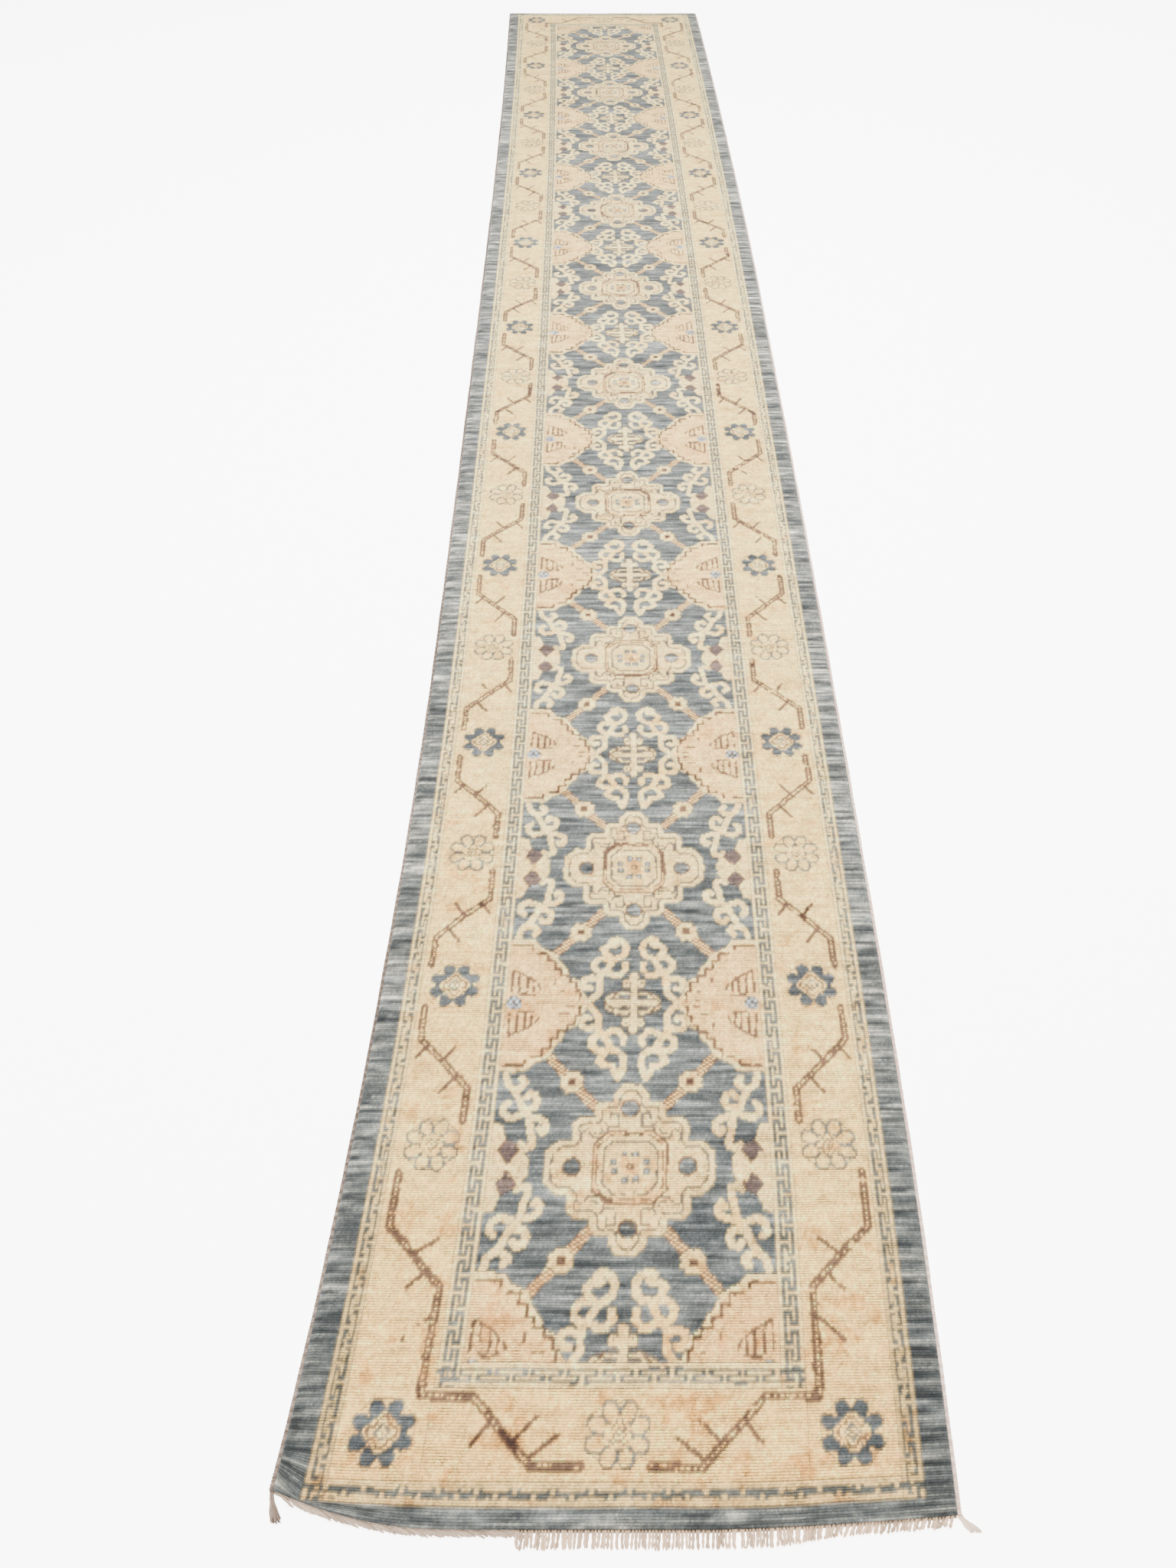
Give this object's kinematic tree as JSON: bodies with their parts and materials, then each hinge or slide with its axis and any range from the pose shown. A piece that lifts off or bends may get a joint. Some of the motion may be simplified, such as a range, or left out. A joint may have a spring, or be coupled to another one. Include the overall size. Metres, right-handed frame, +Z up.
{
  "type": "runner rug",
  "caption": "Long narrow hand-knotted runner rug lying flat, with wool pile inlaid by zone and motif on a woven foundation, corded selvedges, looped fringes and corner tassels.",
  "frame": {"origin": "on the floor, under the middle of the rug's overall box", "axes": "+X across the rug to its right as seen from the front end, +Y along its length towards the back end, +Z up out of the pile"},
  "size_m": [0.8746, 5.653, 0.01],
  "materials": {
    "cotton_web": "flat-woven undyed cotton",
    "blue_wool": "sheared slate-blue wool pile with streaks",
    "fret_wool": "sheared wool pile in grey-blue and ivory",
    "border_wool": "sheared warm cream wool pile",
    "field_wool": "sheared grey-blue wool pile with streaks",
    "medallion_wool": "sheared cream wool pile",
    "spandrel_wool": "sheared pinkish beige wool pile",
    "ivory_wool": "sheared yellow-ivory wool pile",
    "selvedge_wool": "overcast wool wrapping",
    "cotton_cord": "plied cotton cord",
    "fringe_cotton": "twisted warp loops",
    "tassel_yarn": "loose unplied yarn"
  },
  "bodies": {
    "root": {"foundation": "cotton_web", "outer_band_left": "blue_wool", "outer_band_right": "blue_wool", "outer_band_front": "blue_wool", "outer_band_back": "blue_wool", "outer_fret_left": "fret_wool", "outer_fret_right": "fret_wool", "outer_fret_front": "fret_wool", "outer_fret_back": "fret_wool", "main_border_left": "border_wool", "main_border_right": "border_wool", "main_border_front": "border_wool", "main_border_back": "border_wool", "inner_fret_left": "fret_wool", "inner_fret_right": "fret_wool", "inner_fret_front": "fret_wool", "inner_fret_back": "fret_wool", "field_pile": "field_wool", "medallions": "medallion_wool", "spandrels": "spandrel_wool", "crosses": "ivory_wool", "side_buds": "ivory_wool", "arm_flowers": "ivory_wool", "blue_rosettes": "blue_wool", "pale_rosettes": "ivory_wool", "selvedge_wrap_left": "selvedge_wool", "selvedge_wrap_right": "selvedge_wool", "selvedge_cords_left": "cotton_cord", "selvedge_cords_right": "cotton_cord", "end_web_front": "cotton_web", "end_web_back": "cotton_web", "fringe_front": "fringe_cotton", "fringe_back": "fringe_cotton", "tassel_front_left": "tassel_yarn", "tassel_front_right": "tassel_yarn", "tassel_back_left": "tassel_yarn", "tassel_back_right": "tassel_yarn"}
  },
  "joints": []
}
